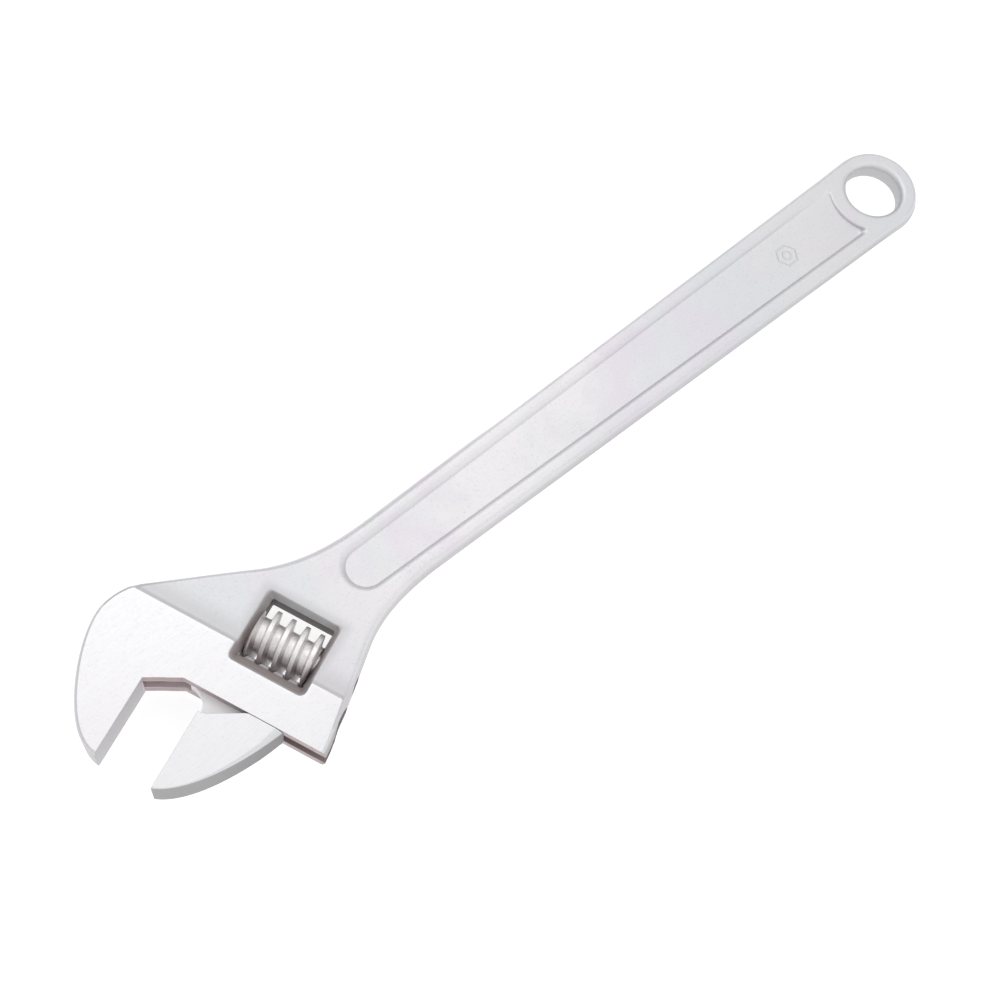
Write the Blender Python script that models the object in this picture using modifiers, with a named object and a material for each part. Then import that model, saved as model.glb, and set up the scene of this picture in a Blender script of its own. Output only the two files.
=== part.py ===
"""Adjustable wrench, 24 inch size (604 mm long), as five separate pieces.

Frame: +X runs along the handle from the head to the eye end, +Z out of the broad face, metres.
The head is set at 22.5 degrees to the handle.  Head coordinates (a, b) lie in the XY plane:
a runs along the jaw's travel, 0 on the fixed jaw's face and growing towards the heel,
b runs across it, 0 on the line that the jaw slides on and growing towards the jaw tips.
"""
import bpy
import bmesh
import math
from mathutils import Matrix, Vector

MM = 0.001

# ---------------------------------------------------------------- driving dimensions, millimetres
HOLE = (272.9, 0.08)                # centre of the hang hole, from the frame's origin
LIFT = 16.0                         # the mid plane's height: the worm's crest is the lowest point
HEAD_ANGLE = 22.5                   # degrees between the handle and the jaw faces
HEAD_REF = (-522.3, 26.4)           # where a = 0 and b = 0 meet, from the hang hole

HEAD_HALF = 13.5                    # half thickness, ground faces of head and jaw
WEB_HALF = 12.4                     # half thickness, forged web above the ground band
BAND = -29.4                        # b of the ground band's upper edge
BAND_SLOPE = 3.7                    # width of the slope beside it
HANDLE_HALF = (9.0, 7.2)            # half thickness of the handle at the head and at the eye
THICKNESS_STEPS = ((-452.0, WEB_HALF), (-438.0, WEB_HALF - 0.5), (-412.0, HANDLE_HALF[0] + 0.5),
                   (-398.0, HANDLE_HALF[0]), (-25.0, HANDLE_HALF[1]))
EDGE = 3.0                          # rounding of the forging's edges

HALF_HEAD_END = 22.1                # half width of the handle at the head end
HALF_EYE_END = 27.2                 # half width of the handle at the eye end
EYE_R = 27.8                        # outer radius of the eye
EYE_X = 1.4                         # its centre, from the hang hole's
EYE_HOLE_R = 17.2                   # hang hole

PANEL_DEPTH = 1.8                   # recess on each face of the handle
PANEL_HEAD = (-401.5, 13.6)         # centre x and radius of the panel's round end
PANEL_EYE = (-24.0, 17.9)           # x and half width of its other end
PANEL_BOSS_R = 28.0                 # radius of the boss that ends it

OPENING = 33.8                      # jaw opening at rest
OPENING_MAX = 62.0
THROAT_B = 10.0                     # where the fixed jaw's face meets the slanted throat
THROAT_A = 18.5                     # where the throat meets the slide line
JAW_GAP = 0.35                      # running clearance between the jaw and the body

WORM_B = -42.5                      # worm axis
WORM_R = 16.0
WORM_ROOT = 10.0
WORM_A = (36.3, 72.8)
WORM_PITCH = 8.667
WORM_CREST = 2.3                    # width of the thread at its crest
WORM_FLANK = 0.20                   # growth of half width for each mm of depth
WORM_PHASE_A = 46.8                 # a of a crest on the side that faces the rack

WINDOW_A = (35.8, 73.2)
WINDOW_B = (-62.2, -25.5)
POCKET_A = (31.8, 77.2)
POCKET_B = (-64.4, -20.7)
POCKET_DEPTH = 8.4

RACK_B = -20.0                      # rack bar axis
RACK_R = 9.5
RACK_A = (22.0, 85.0)
RACK_BORE = 9.95
RACK_BORE_END = -12.4
RACK_GROOVE = 3.55                  # depth of the tooth spaces
RACK_SIDE = 0.45                    # clearance beside each thread
NECK_HALF = 5.6                     # half thickness of the jaw's neck
SLOT_HALF = 6.0                     # half width of the slot it runs in

PIN_R = 3.25
PIN_A = (29.0, 93.4)
PIN_THREAD_R = 4.2
PIN_THREAD_A = 78.8
SPRING_R = 4.75
SPRING_WIRE = 0.45
SPRING_A = (63.4, 72.4)
SPRING_TURNS = 5
SPRING_BORE = 5.9


# ---------------------------------------------------------------- helpers
def hole_xy(x, y):
    """A point given from the hang hole, in frame millimetres."""
    return (HOLE[0] + x, HOLE[1] + y)


def head_xy(a, b):
    """Head coordinates to frame millimetres."""
    t = math.radians(HEAD_ANGLE)
    return hole_xy(HEAD_REF[0] + a * math.sin(t) - b * math.cos(t),
                   HEAD_REF[1] - a * math.cos(t) - b * math.sin(t))


def head_matrix(a=0.0, b=0.0, z=0.0):
    """Local +X along a, local +Y along -b, local +Z up, at (a, b, z)."""
    x, y = head_xy(a, b)
    return (Matrix.Translation((x * MM, y * MM, (z + LIFT) * MM))
            @ Matrix.Rotation(math.radians(HEAD_ANGLE - 90), 4, 'Z'))


def bezier(p0, p1, p2, p3, n):
    """n points along a cubic, without its first."""
    out = []
    for i in range(1, n + 1):
        t = i / n
        w = ((1 - t) ** 3, 3 * t * (1 - t) ** 2, 3 * t * t * (1 - t), t ** 3)
        out.append(tuple(w[0] * q0 + w[1] * q1 + w[2] * q2 + w[3] * q3
                         for q0, q1, q2, q3 in zip(p0, p1, p2, p3)))
    return out


def arc(cx, cy, r, a0, a1, n):
    """n + 1 points of a circle from a0 to a1 degrees."""
    return [(cx + r * math.cos(math.radians(a0 + (a1 - a0) * i / n)),
             cy + r * math.sin(math.radians(a0 + (a1 - a0) * i / n))) for i in range(n + 1)]


def corner(p, q, r, radius, n=4):
    """Round the corner at q between p and r."""
    q = Vector(q)
    u = (Vector(p) - q).normalized()
    v = (Vector(r) - q).normalized()
    half = u.angle(v) / 2
    d = radius / math.tan(half)
    c = q + (u + v).normalized() * (radius / math.sin(half))
    s, e = q + u * d - c, q + v * d - c
    turn = s.angle_signed(e)
    out = []
    for i in range(n + 1):
        w = -turn * i / n
        out.append((c.x + s.x * math.cos(w) - s.y * math.sin(w), c.y + s.x * math.sin(w) + s.y * math.cos(w)))
    return out


for ob in list(bpy.data.objects):
    bpy.data.objects.remove(ob, do_unlink=True)

parts = bpy.data.collections.new("adjustable_wrench")
cutters = bpy.data.collections.new("cutters")
bpy.context.scene.collection.children.link(parts)
bpy.context.scene.collection.children.link(cutters)


def add(name, mesh, cutter=False):
    ob = bpy.data.objects.new(name, mesh)
    (cutters if cutter else parts).objects.link(ob)
    if cutter:
        ob.hide_render = True
        ob.display_type = 'WIRE'
    return ob


def from_bmesh(name, bm, cutter=False, matrix=None):
    if matrix is not None:
        bm.transform(matrix)
    bm.normal_update()
    bmesh.ops.recalc_face_normals(bm, faces=bm.faces)
    mesh = bpy.data.meshes.new(name)
    bm.to_mesh(mesh)
    bm.free()
    return add(name, mesh, cutter)


def curve_mesh(name, curve, cutter=False, matrix=None):
    """A curve object made a closed mesh, its caps welded on."""
    guide = bpy.data.objects.new(name + "_curve", curve)
    bpy.context.scene.collection.objects.link(guide)
    bpy.context.view_layer.update()
    evaluated = guide.evaluated_get(bpy.context.evaluated_depsgraph_get())
    mesh = bpy.data.meshes.new_from_object(evaluated)
    bpy.data.objects.remove(guide, do_unlink=True)
    bm = bmesh.new()
    bm.from_mesh(mesh)
    bmesh.ops.remove_doubles(bm, verts=bm.verts, dist=1e-6)
    bpy.data.meshes.remove(mesh)
    return from_bmesh(name, bm, cutter, matrix)


def plate(name, loop, z0, z1, cutter=False):
    """A flat outline in frame millimetres, extruded between two heights above the mid plane."""
    curve = bpy.data.curves.new(name, 'CURVE')
    curve.dimensions = '2D'
    curve.fill_mode = 'BOTH'
    curve.extrude = (z1 - z0) / 2 * MM
    spline = curve.splines.new('POLY')
    spline.points.add(len(loop) - 1)
    for point, (x, y) in zip(spline.points, loop):
        point.co = (x * MM, y * MM, 0, 1)
    spline.use_cyclic_u = True
    return curve_mesh(name, curve, cutter, Matrix.Translation((0, 0, ((z0 + z1) / 2 + LIFT) * MM)))


def profile_bar(name, loop, half, matrix, cutter=True):
    """A section in (local x, local z) millimetres, extruded along local y, placed by a matrix."""
    curve = bpy.data.curves.new(name, 'CURVE')
    curve.dimensions = '2D'
    curve.fill_mode = 'BOTH'
    curve.extrude = half * MM
    spline = curve.splines.new('POLY')
    spline.points.add(len(loop) - 1)
    for point, (x, z) in zip(spline.points, loop):
        point.co = (x * MM, z * MM, 0, 1)
    spline.use_cyclic_u = True
    return curve_mesh(name, curve, cutter, matrix @ Matrix.Rotation(math.radians(90), 4, 'X'))


def turned(name, profile, matrix, steps=32, cutter=False):
    """A profile of (radius, height) in millimetres, top to bottom, turned about local +Z."""
    bm = bmesh.new()
    verts = [bm.verts.new((r * MM, 0, z * MM)) for r, z in profile]
    for u, v in zip(verts, verts[1:]):
        bm.edges.new((u, v))
    mesh = bpy.data.meshes.new(name)
    bm.to_mesh(mesh)
    bm.free()
    ob = add(name, mesh, cutter)
    screw = ob.modifiers.new("turn", 'SCREW')
    screw.steps = screw.render_steps = steps
    screw.use_merge_vertices = True
    screw.merge_threshold = 1e-6
    ob.matrix_world = matrix
    return ob


def boolean(ob, other, operation='DIFFERENCE'):
    mod = ob.modifiers.new(operation.lower() + "_" + other.name, 'BOOLEAN')
    mod.operation = operation
    mod.solver = 'EXACT'
    mod.object = other


def material(ob, colour, roughness, metallic):
    mat = bpy.data.materials.new(ob.name)
    mat.use_nodes = True
    shader = mat.node_tree.nodes["Principled BSDF"]
    shader.inputs["Base Color"].default_value = (*colour, 1)
    shader.inputs["Roughness"].default_value = roughness
    shader.inputs["Metallic"].default_value = metallic
    ob.data.materials.clear()
    ob.data.materials.append(mat)


def along_a(a0, b, a1=None):
    """Local +Z along a, from (a0, b) on the mid plane."""
    return head_matrix(a0, b) @ Matrix.Rotation(math.radians(90), 4, 'Y')


# ---------------------------------------------------------------- wrench body
def blank_outline():
    """The forging's plan outline, clockwise from the eye, before the jaw side is machined."""
    slope = math.degrees(math.atan((HALF_EYE_END - HALF_HEAD_END) / 366))
    loop = arc(EYE_X, 0, EYE_R, 90 - slope, slope - 90, 22)
    loop.append((-20, -HALF_EYE_END))
    t = math.radians(HEAD_ANGLE)

    def h(a, b):
        return (HEAD_REF[0] + a * math.sin(t) - b * math.cos(t), HEAD_REF[1] - a * math.cos(t) - b * math.sin(t))

    # lower side: the handle, the neck's hollow, and straight down to the foot
    loop.append((-372, -HALF_HEAD_END - 0.2))
    loop += bezier((-372, -HALF_HEAD_END - 0.2), (-398, -23.0), (-413, -27.2), (-425, -34.2), 6)
    loop += [(-447.5, -47.9), h(102.4, -6.0), h(103.1, 4), h(4, 4)]
    # fixed jaw: tip, outer curve, crown
    loop.append(h(5, 56.4))
    loop += bezier(h(5, 56.4), h(-6.2, 57.3), h(-14.8, 50.8), h(-23.1, 38.3), 5)
    loop += bezier(h(-23.1, 38.3), h(-31.2, 26.0), h(-39.6, 6), h(-39.6, -9), 6)
    loop += bezier(h(-39.6, -9), h(-39.6, -17.6), h(-34.2, -28.8), h(-27.4, -34.3), 6)
    # upper side of the neck
    loop += [(-475, 49.8), (-449.4, 35.0)]
    loop += bezier((-449.4, 35.0), (-437, 27.9), (-418, HALF_HEAD_END), (-386, HALF_HEAD_END), 8)
    loop.append((-20, HALF_EYE_END))
    return [hole_xy(x, y) for x, y in loop]


def half_thickness(x, b):
    """Half thickness of the forging, x from the hang hole, b the head coordinate."""
    if b > BAND:
        return HEAD_HALF
    if b > BAND - BAND_SLOPE:
        return HEAD_HALF + (WEB_HALF - HEAD_HALF) * (BAND - b) / BAND_SLOPE
    steps = THICKNESS_STEPS
    for (x0, h0), (x1, h1) in zip(steps, steps[1:]):
        if x < x1:
            return h0 + (h1 - h0) * max(0.0, x - x0) / (x1 - x0)
    return steps[-1][1]


def forging(name, outline):
    """The blank: a plate with rounded edges, its faces then brought to the thickness of each place."""
    ob = plate(name, outline, -HEAD_HALF, HEAD_HALF)
    bm = bmesh.new()
    bm.from_mesh(ob.data)
    middle = LIFT * MM
    bmesh.ops.dissolve_limit(bm, angle_limit=math.radians(1), verts=[], edges=bm.edges)
    rims = [e for e in bm.edges if len(e.link_faces) == 2 and e.calc_face_angle() > 1
            and abs(e.verts[0].co.z - e.verts[1].co.z) < 1e-5]
    bmesh.ops.bevel(bm, geom=rims, offset=EDGE * MM, segments=2, profile=0.5, affect='EDGES', clamp_overlap=False)
    planes = [(Vector(((HOLE[0] + x) * MM, 0, 0)), Vector((1, 0, 0))) for x, _ in THICKNESS_STEPS]
    across = Vector((-math.cos(math.radians(HEAD_ANGLE)), -math.sin(math.radians(HEAD_ANGLE)), 0))
    for b in (BAND, BAND - BAND_SLOPE):
        x, y = head_xy(0, b)
        planes.append((Vector((x * MM, y * MM, 0)), across))
    for point, normal in planes:
        bmesh.ops.bisect_plane(bm, geom=bm.verts[:] + bm.edges[:] + bm.faces[:], dist=3e-5, plane_co=point,
                               plane_no=normal)
    origin = Vector((*head_xy(0, 0), 0)) * MM
    for v in bm.verts:
        b = (v.co - origin).dot(across) / MM
        drop = (HEAD_HALF - half_thickness(v.co.x / MM - HOLE[0], b)) * MM
        v.co.z += -drop if v.co.z > middle else drop
    bmesh.ops.triangulate(bm, faces=[f for f in bm.faces if len(f.verts) < 6])
    bm.to_mesh(ob.data)
    bm.free()
    return ob


body = forging("wrench_body", blank_outline())

# recessed panel on each face: straight sides, a round end at the head, and a curved end round the eye
px, pr = PANEL_HEAD
ex, ew = PANEL_EYE
reach = math.degrees(math.asin(ew / PANEL_BOSS_R))
panel = arc(px, 0, pr, 90, 270, 12) + arc(0, 0, PANEL_BOSS_R, 180 + reach, 180 - reach, 8)
slope = math.atan((HANDLE_HALF[0] - HANDLE_HALF[1]) / 373)
for sign, word in ((1, "top"), (-1, "bottom")):
    cut = plate("panel_" + word, [hole_xy(x, y) for x, y in panel], -3, 3, cutter=True)
    middle = Vector((hole_xy(-213, 0)[0] * MM, HOLE[1] * MM, LIFT * MM))
    height = (sum(HANDLE_HALF) / 2 - PANEL_DEPTH + 3) * MM
    cut.data.transform(Matrix.Translation(middle + Vector((0, 0, sign * height)))
                       @ Matrix.Rotation(-slope * sign, 4, 'Y') @ Matrix.Translation(-middle))
    boolean(body, cut)

# hang hole with eased rims
rim = HANDLE_HALF[1]
hang = turned("hang_hole", [(0, rim + 4), (EYE_HOLE_R + 4.0, rim + 4), (EYE_HOLE_R, rim - 2),
                            (EYE_HOLE_R, 2 - rim), (EYE_HOLE_R + 4.0, -rim - 4), (0, -rim - 4)],
              Matrix.Translation((HOLE[0] * MM, HOLE[1] * MM, LIFT * MM)), 40, cutter=True)
boolean(body, hang)

# jaw mouth: fixed jaw face, slanted throat and the line that the movable jaw slides on
mouth = plate("mouth", [head_xy(*p) for p in ((0, 90), (0, THROAT_B), (THROAT_A, 0), (130, 0), (130, 90))],
              -30, 30, cutter=True)
boolean(body, mouth)


def drafted_box(name, a_in, b_in, a_out, b_out, z_in, z_out):
    """A pocket that widens upwards, with rounded corners."""
    bm = bmesh.new()
    bmesh.ops.create_cube(bm, size=2)
    bmesh.ops.bevel(bm, geom=[e for e in bm.edges if abs(e.verts[0].co.z - e.verts[1].co.z) > 1],
                    offset=0.14, segments=3, profile=0.5, affect='EDGES')
    for v in bm.verts:
        inner = v.co.z < 0
        (a0, a1), (b0, b1) = (a_in, b_in) if inner else (a_out, b_out)
        v.co = (((a0 + a1) / 2 + v.co.x * (a1 - a0) / 2) * MM,
                (-(b0 + b1) / 2 + v.co.y * (b1 - b0) / 2) * MM,
                (z_in if inner else z_out) * MM)
    return from_bmesh(name, bm, True, head_matrix(0, 0))


def spread(inner, outer, factor):
    return tuple(i + (o - i) * factor for i, o in zip(inner, outer))


# worm window: a drafted pocket in each face and a square opening through the web between them
over, under = 1 + 4 / POCKET_DEPTH, -1 / POCKET_DEPTH
for sign, word in ((1, "top"), (-1, "bottom")):
    floor = HEAD_HALF - POCKET_DEPTH
    cut = drafted_box("pocket_" + word, spread(WINDOW_A, POCKET_A, under), spread(WINDOW_B, POCKET_B, under),
                      spread(WINDOW_A, POCKET_A, over), spread(WINDOW_B, POCKET_B, over),
                      sign * (floor + POCKET_DEPTH * under), sign * (floor + POCKET_DEPTH * over))
    boolean(body, cut)
window = plate("window", [head_xy(*p) for p in ((WINDOW_A[0], WINDOW_B[0]), (WINDOW_A[1], WINDOW_B[0]),
                                                (WINDOW_A[1], WINDOW_B[1]), (WINDOW_A[0], WINDOW_B[1]))],
               -9, 9, cutter=True)
boolean(body, window)

# bore for the rack bar and slot for the jaw's neck, both open at the heel
bore = turned("rack_bore", [(0, 120 - RACK_BORE_END), (RACK_BORE, 120 - RACK_BORE_END), (RACK_BORE, 0), (0, 0)],
              along_a(RACK_BORE_END, RACK_B), 32, cutter=True)
boolean(body, bore)
slot = plate("neck_slot", [head_xy(*p) for p in ((RACK_BORE_END + 0.2, RACK_B), (RACK_BORE_END + 0.2, 0.1), (0.7, 11),
                                                 (0.7, 30), (130, 30), (130, RACK_B))],
             -SLOT_HALF, SLOT_HALF, cutter=True)
boolean(body, slot)

# stepped hole for the worm pin, from the heel through the window into a blind end
step = PIN_THREAD_A - 0.3
pin_hole = turned("pin_hole", [(0, 120 - PIN_A[0]), (PIN_THREAD_R + 0.35, 120 - PIN_A[0]),
                               (PIN_THREAD_R + 0.35, step - PIN_A[0]), (PIN_R + 0.35, step - PIN_A[0]),
                               (PIN_R + 0.35, -0.5), (0, -0.5)],
                  along_a(PIN_A[0], WORM_B), 20, cutter=True)
boolean(body, pin_hole)
material(body, (0.80, 0.79, 0.80), 0.38, 1.0)


# ---------------------------------------------------------------- movable jaw
def jaw_outline():
    """Plan of the jaw plate at rest: working face, tip, back, shoulder and relief."""
    f = OPENING
    loop = [(f, 11.5), (f, 57.3)]
    loop += bezier((f, 57.3), (f + 15.8, 51.8), (f + 33.5, 26), (f + 43.9, JAW_GAP), 12)
    loop += [(f + 22.8, JAW_GAP), (f + 3.0, 11.5)]
    return [head_xy(a, b) for a, b in loop]


jaw = plate("movable_jaw", jaw_outline(), -HEAD_HALF, HEAD_HALF)
ease = jaw.modifiers.new("edges", 'BEVEL')
ease.width = 0.8 * MM
ease.segments = 1
ease.limit_method = 'ANGLE'
ease.angle_limit = math.radians(60)

# neck: a web thinner than the jaw, its front edge milled to a hollow curve
front = RACK_A[0]
neck_loop = ([(OPENING + 0.7, 14), (OPENING + 0.7, 11.6)] +
             [(22 + 12.5 * math.cos(t), 12 - 12.5 * math.sin(t)) for t in
              [math.radians(6 + 84 * i / 7) for i in range(8)]] +
             [(front, RACK_B), (OPENING + 38, RACK_B), (OPENING + 38, 8), (OPENING + 12, 20)])
neck = plate("neck", [head_xy(*p) for p in neck_loop], -NECK_HALF, NECK_HALF, cutter=True)
boolean(jaw, neck, 'UNION')
bar_length = RACK_A[1] - RACK_A[0]
bar = turned("rack_bar", [(0, bar_length), (RACK_R - 0.9, bar_length), (RACK_R, bar_length - 0.9), (RACK_R, 0.9),
                          (RACK_R - 0.9, 0), (0, 0)], along_a(RACK_A[0], RACK_B), 32, cutter=True)
boolean(jaw, bar, 'UNION')

# tooth spaces: straight grooves across the bar, slanted to follow the worm's thread
lead = WORM_PITCH / (2 * math.pi * (WORM_R - 1.2))
reach = RACK_B - RACK_R - WORM_B                 # worm axis to the tops of the teeth
crest = RACK_B - RACK_R + RACK_GROOVE - WORM_B   # worm axis to the bottoms of the spaces
number = 0
for n in range(-6, 8):
    a = WORM_PHASE_A + n * WORM_PITCH
    if not RACK_A[0] - 3 < a < RACK_A[1] + 3:
        continue
    number += 1
    half_in = WORM_CREST / 2 + RACK_SIDE
    half_out = half_in + (crest - reach + 1.5) * WORM_FLANK
    bm = bmesh.new()
    bmesh.ops.create_cube(bm, size=2)
    for v in bm.verts:
        outer = v.co.y > 0                       # +Y is away from the jaw, towards the worm
        v.co = (v.co.x * (half_out if outer else half_in) * MM,
                ((1.5 - reach) if outer else -crest) * MM,
                v.co.z * 14 * MM)
    shear = Matrix.Identity(4)
    shear[0][2] = -lead
    groove = from_bmesh("groove_%d" % number, bm, True, head_matrix(a, WORM_B) @ shear)
    boolean(jaw, groove)
material(jaw, (0.82, 0.81, 0.81), 0.32, 1.0)


# ---------------------------------------------------------------- adjusting worm
def thread_solid(turns, steps):
    """One thread as a trapezium carried along a helix about local +Z, its ends capped."""
    depth = WORM_R - WORM_ROOT + 1.0
    half = WORM_CREST / 2
    root = half + depth * WORM_FLANK
    bm = bmesh.new()
    section = [(WORM_R, half), (WORM_R, -half), (WORM_ROOT - 1.0, -root), (WORM_ROOT - 1.0, root)]
    verts = [bm.verts.new((r * MM, 0, z * MM)) for r, z in section]
    for u, v in zip(verts, verts[1:] + verts[:1]):
        bm.edges.new((u, v))
    count = int(round(turns * steps))
    bmesh.ops.spin(bm, geom=bm.verts[:] + bm.edges[:], cent=(0, 0, 0), axis=(0, 0, 1),
                   dvec=(0, 0, WORM_PITCH / steps * MM), angle=2 * math.pi * turns, steps=count)
    bmesh.ops.holes_fill(bm, edges=[e for e in bm.edges if e.is_boundary], sides=4)
    return bm


length = WORM_A[1] - WORM_A[0]
RUNOUT = 4.5                        # how far the thread is carried past each end before it is faced off
worm = turned("adjusting_worm", [(0, length + 2), (WORM_ROOT, length + 2), (WORM_ROOT, -2), (0, -2)],
              along_a(WORM_A[0], WORM_B), 28)
# angle 0 of the helix is on the side that faces the rack; local +X of the worm's frame points down
first = WORM_PHASE_A - WORM_A[0]
turn0 = (-RUNOUT - first) / WORM_PITCH * 2 * math.pi
thread = from_bmesh("thread", thread_solid((length + 2 * RUNOUT) / WORM_PITCH, 22), True,
                    along_a(WORM_A[0], WORM_B) @ Matrix.Translation((0, 0, -RUNOUT * MM))
                    @ Matrix.Rotation(turn0 - math.radians(90), 4, 'Z'))
boolean(worm, thread, 'UNION')
# both ends faced off and chamfered
ends = turned("worm_ends", [(0, length), (WORM_R - 1.6, length), (WORM_R + 0.8, length - 1.6),
                            (WORM_R + 0.8, 1.6), (WORM_R - 1.6, 0), (0, 0)],
              along_a(WORM_A[0], WORM_B), 36, cutter=True)
boolean(worm, ends, 'INTERSECT')
# bore for the pin, and the spring's counterbore at the heel end
worm_bore = turned("worm_bore", [(0, length + 3), (SPRING_BORE, length + 3), (SPRING_BORE, length - 10.2),
                                 (PIN_R + 0.35, length - 10.2), (PIN_R + 0.35, -3), (0, -3)],
                   along_a(WORM_A[0], WORM_B), 20, cutter=True)
boolean(worm, worm_bore)
material(worm, (0.46, 0.45, 0.46), 0.42, 1.0)

# ---------------------------------------------------------------- pin and spring
pl, tl = PIN_A[1] - PIN_A[0], PIN_THREAD_A - PIN_A[0]
pin = turned("worm_pin", [(0, pl), (PIN_THREAD_R - 0.5, pl), (PIN_THREAD_R, pl - 0.5), (PIN_THREAD_R, tl), (PIN_R, tl),
                          (PIN_R, 0.5), (PIN_R - 0.5, 0), (0, 0)], along_a(PIN_A[0], WORM_B), 20)
bm = bmesh.new()
bmesh.ops.create_cube(bm, size=1)
bmesh.ops.scale(bm, vec=(4.4 * MM, 12 * MM, 1.3 * MM), verts=bm.verts)
driver = from_bmesh("driver_slot", bm, True, head_matrix(PIN_A[1], WORM_B))
boolean(pin, driver)
material(pin, (0.55, 0.55, 0.56), 0.35, 1.0)

coil = bpy.data.curves.new("worm_spring", 'CURVE')
coil.dimensions = '3D'
coil.bevel_depth = SPRING_WIRE * MM
coil.bevel_resolution = 2
coil.use_fill_caps = True
spline = coil.splines.new('POLY')
per_turn = 12
spline.points.add(SPRING_TURNS * per_turn)
for i, point in enumerate(spline.points):
    t = i / (SPRING_TURNS * per_turn)
    w = 2 * math.pi * SPRING_TURNS * t
    rise = (SPRING_A[1] - SPRING_A[0]) * t
    point.co = (SPRING_R * math.cos(w) * MM, SPRING_R * math.sin(w) * MM, rise * MM, 1)
spring = curve_mesh("worm_spring", coil, matrix=along_a(SPRING_A[0], WORM_B))
material(spring, (0.60, 0.60, 0.60), 0.30, 1.0)


# ---------------------------------------------------------------- origins on the joint axes
def origin_to(ob, point):
    """Put the object's origin at a point of its joint's axis, the shape staying where it is."""
    world = ob.matrix_world.copy()
    new = Matrix.Translation(point) @ Matrix.Rotation(math.radians(HEAD_ANGLE - 90), 4, 'Z')
    ob.data.transform(new.inverted() @ world)
    ob.matrix_world = new


axis = bpy.data.objects.new("jaw_slide_axis", None)
parts.objects.link(axis)
axis.matrix_world = head_matrix(RACK_A[0], RACK_B)
bpy.context.view_layer.update()
origin_to(jaw, head_matrix(RACK_A[0], RACK_B).translation)
for ob in (body, jaw, worm, pin, spring):
    ob.data.shade_smooth()
    ob.data.set_sharp_from_angle(angle=math.radians(35))
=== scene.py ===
"""Looks of a large adjustable wrench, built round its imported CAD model.

Plan coordinates are millimetres from the hang hole's centre, x towards the eye end.  In the head,
(a, b) are used too: a along the jaw's travel from the fixed jaw's face, b across it towards the tips.
The body and the jaw are relief solids: a plan triangulated along the lines that the shape follows
(rings inside each rounded edge, walls of the recesses), every point then lifted to the height of the
surface there, the same on both faces.
"""
import bpy
import bmesh
import math
import numpy as np
from mathutils import Matrix, Vector
from mathutils.geometry import delaunay_2d_cdt


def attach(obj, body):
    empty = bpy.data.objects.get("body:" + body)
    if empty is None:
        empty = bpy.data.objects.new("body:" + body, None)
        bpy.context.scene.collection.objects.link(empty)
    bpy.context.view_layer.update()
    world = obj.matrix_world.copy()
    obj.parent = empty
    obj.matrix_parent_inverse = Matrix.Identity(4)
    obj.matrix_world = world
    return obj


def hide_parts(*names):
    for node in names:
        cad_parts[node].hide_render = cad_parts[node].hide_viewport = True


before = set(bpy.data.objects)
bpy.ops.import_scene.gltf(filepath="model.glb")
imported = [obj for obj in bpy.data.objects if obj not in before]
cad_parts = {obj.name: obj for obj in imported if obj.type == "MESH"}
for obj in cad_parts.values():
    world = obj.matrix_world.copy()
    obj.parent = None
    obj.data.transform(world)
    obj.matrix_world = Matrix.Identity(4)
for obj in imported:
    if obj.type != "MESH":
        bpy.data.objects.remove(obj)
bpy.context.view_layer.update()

MM = 0.001
HOLE = (272.9, 0.08)
LIFT = 16.0
T = math.radians(22.5)
SIN, COS = math.sin(T), math.cos(T)
REF = (-522.3, 26.4)

HEAD = 13.5                 # half thickness of the ground faces
WEB = 12.4                  # half thickness of the forged web
BAND = -29.4
BAND_SLOPE = 3.7
F = 33.8                    # jaw opening at rest
GAP = 0.24
WORM_B, WORM_R, WORM_ROOT = -42.5, 16.0, 10.0
WORM_A, PITCH = (36.3, 72.8), 8.667
PHASE_A = 46.8
WINDOW_A, WINDOW_B = (35.8, 73.2), (-62.2, -25.5)
RACK_B, RACK_R, RACK_A = -20.0, 9.5, (22.0, 85.0)


# ------------------------------------------------------------------ plan geometry
def hp(a, b):
    """Head coordinates to plan coordinates."""
    return (REF[0] + a * SIN - b * COS, REF[1] - a * COS - b * SIN)


def to_ab(x, y):
    dx, dy = x - REF[0], y - REF[1]
    return dx * SIN - dy * COS, -dx * COS - dy * SIN


def bez(p0, p1, p2, p3, n=24):
    t = np.linspace(0, 1, n + 1)[1:, None]
    p0, p1, p2, p3 = map(np.array, (p0, p1, p2, p3))
    return ((1 - t) ** 3 * p0 + 3 * t * (1 - t) ** 2 * p1 + 3 * t * t * (1 - t) * p2 + t ** 3 * p3).tolist()


def circle(cx, cy, r, a0, a1, n):
    t = np.radians(np.linspace(a0, a1, n + 1))
    return np.stack([cx + r * np.cos(t), cy + r * np.sin(t)], 1).tolist()


def resample(line, step, closed=False, keep=35):
    """Even spacing along a polyline, its corners kept."""
    p = np.array(line, float)
    if closed:
        p = np.vstack([p, p[:1]])
    seg = np.linalg.norm(np.diff(p, axis=0), axis=1)
    p = p[np.concatenate([[True], seg > 1e-6])]
    d = np.diff(p, axis=0)
    d /= np.linalg.norm(d, axis=1)[:, None]
    turn = np.degrees(np.arccos(np.clip((d[1:] * d[:-1]).sum(1), -1, 1)))
    marks = [0] + [i + 1 for i, t in enumerate(turn) if t > keep] + [len(p) - 1]
    out = []
    for m0, m1 in zip(marks, marks[1:]):
        q = p[m0:m1 + 1]
        s = np.concatenate([[0], np.cumsum(np.linalg.norm(np.diff(q, axis=0), axis=1))])
        n = max(1, int(round(s[-1] / step)))
        u = np.linspace(0, s[-1], n + 1)[:-1]
        out.append(np.stack([np.interp(u, s, q[:, 0]), np.interp(u, s, q[:, 1])], 1))
    out = np.vstack(out)
    return out if closed else np.vstack([out, p[-1:]])


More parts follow.
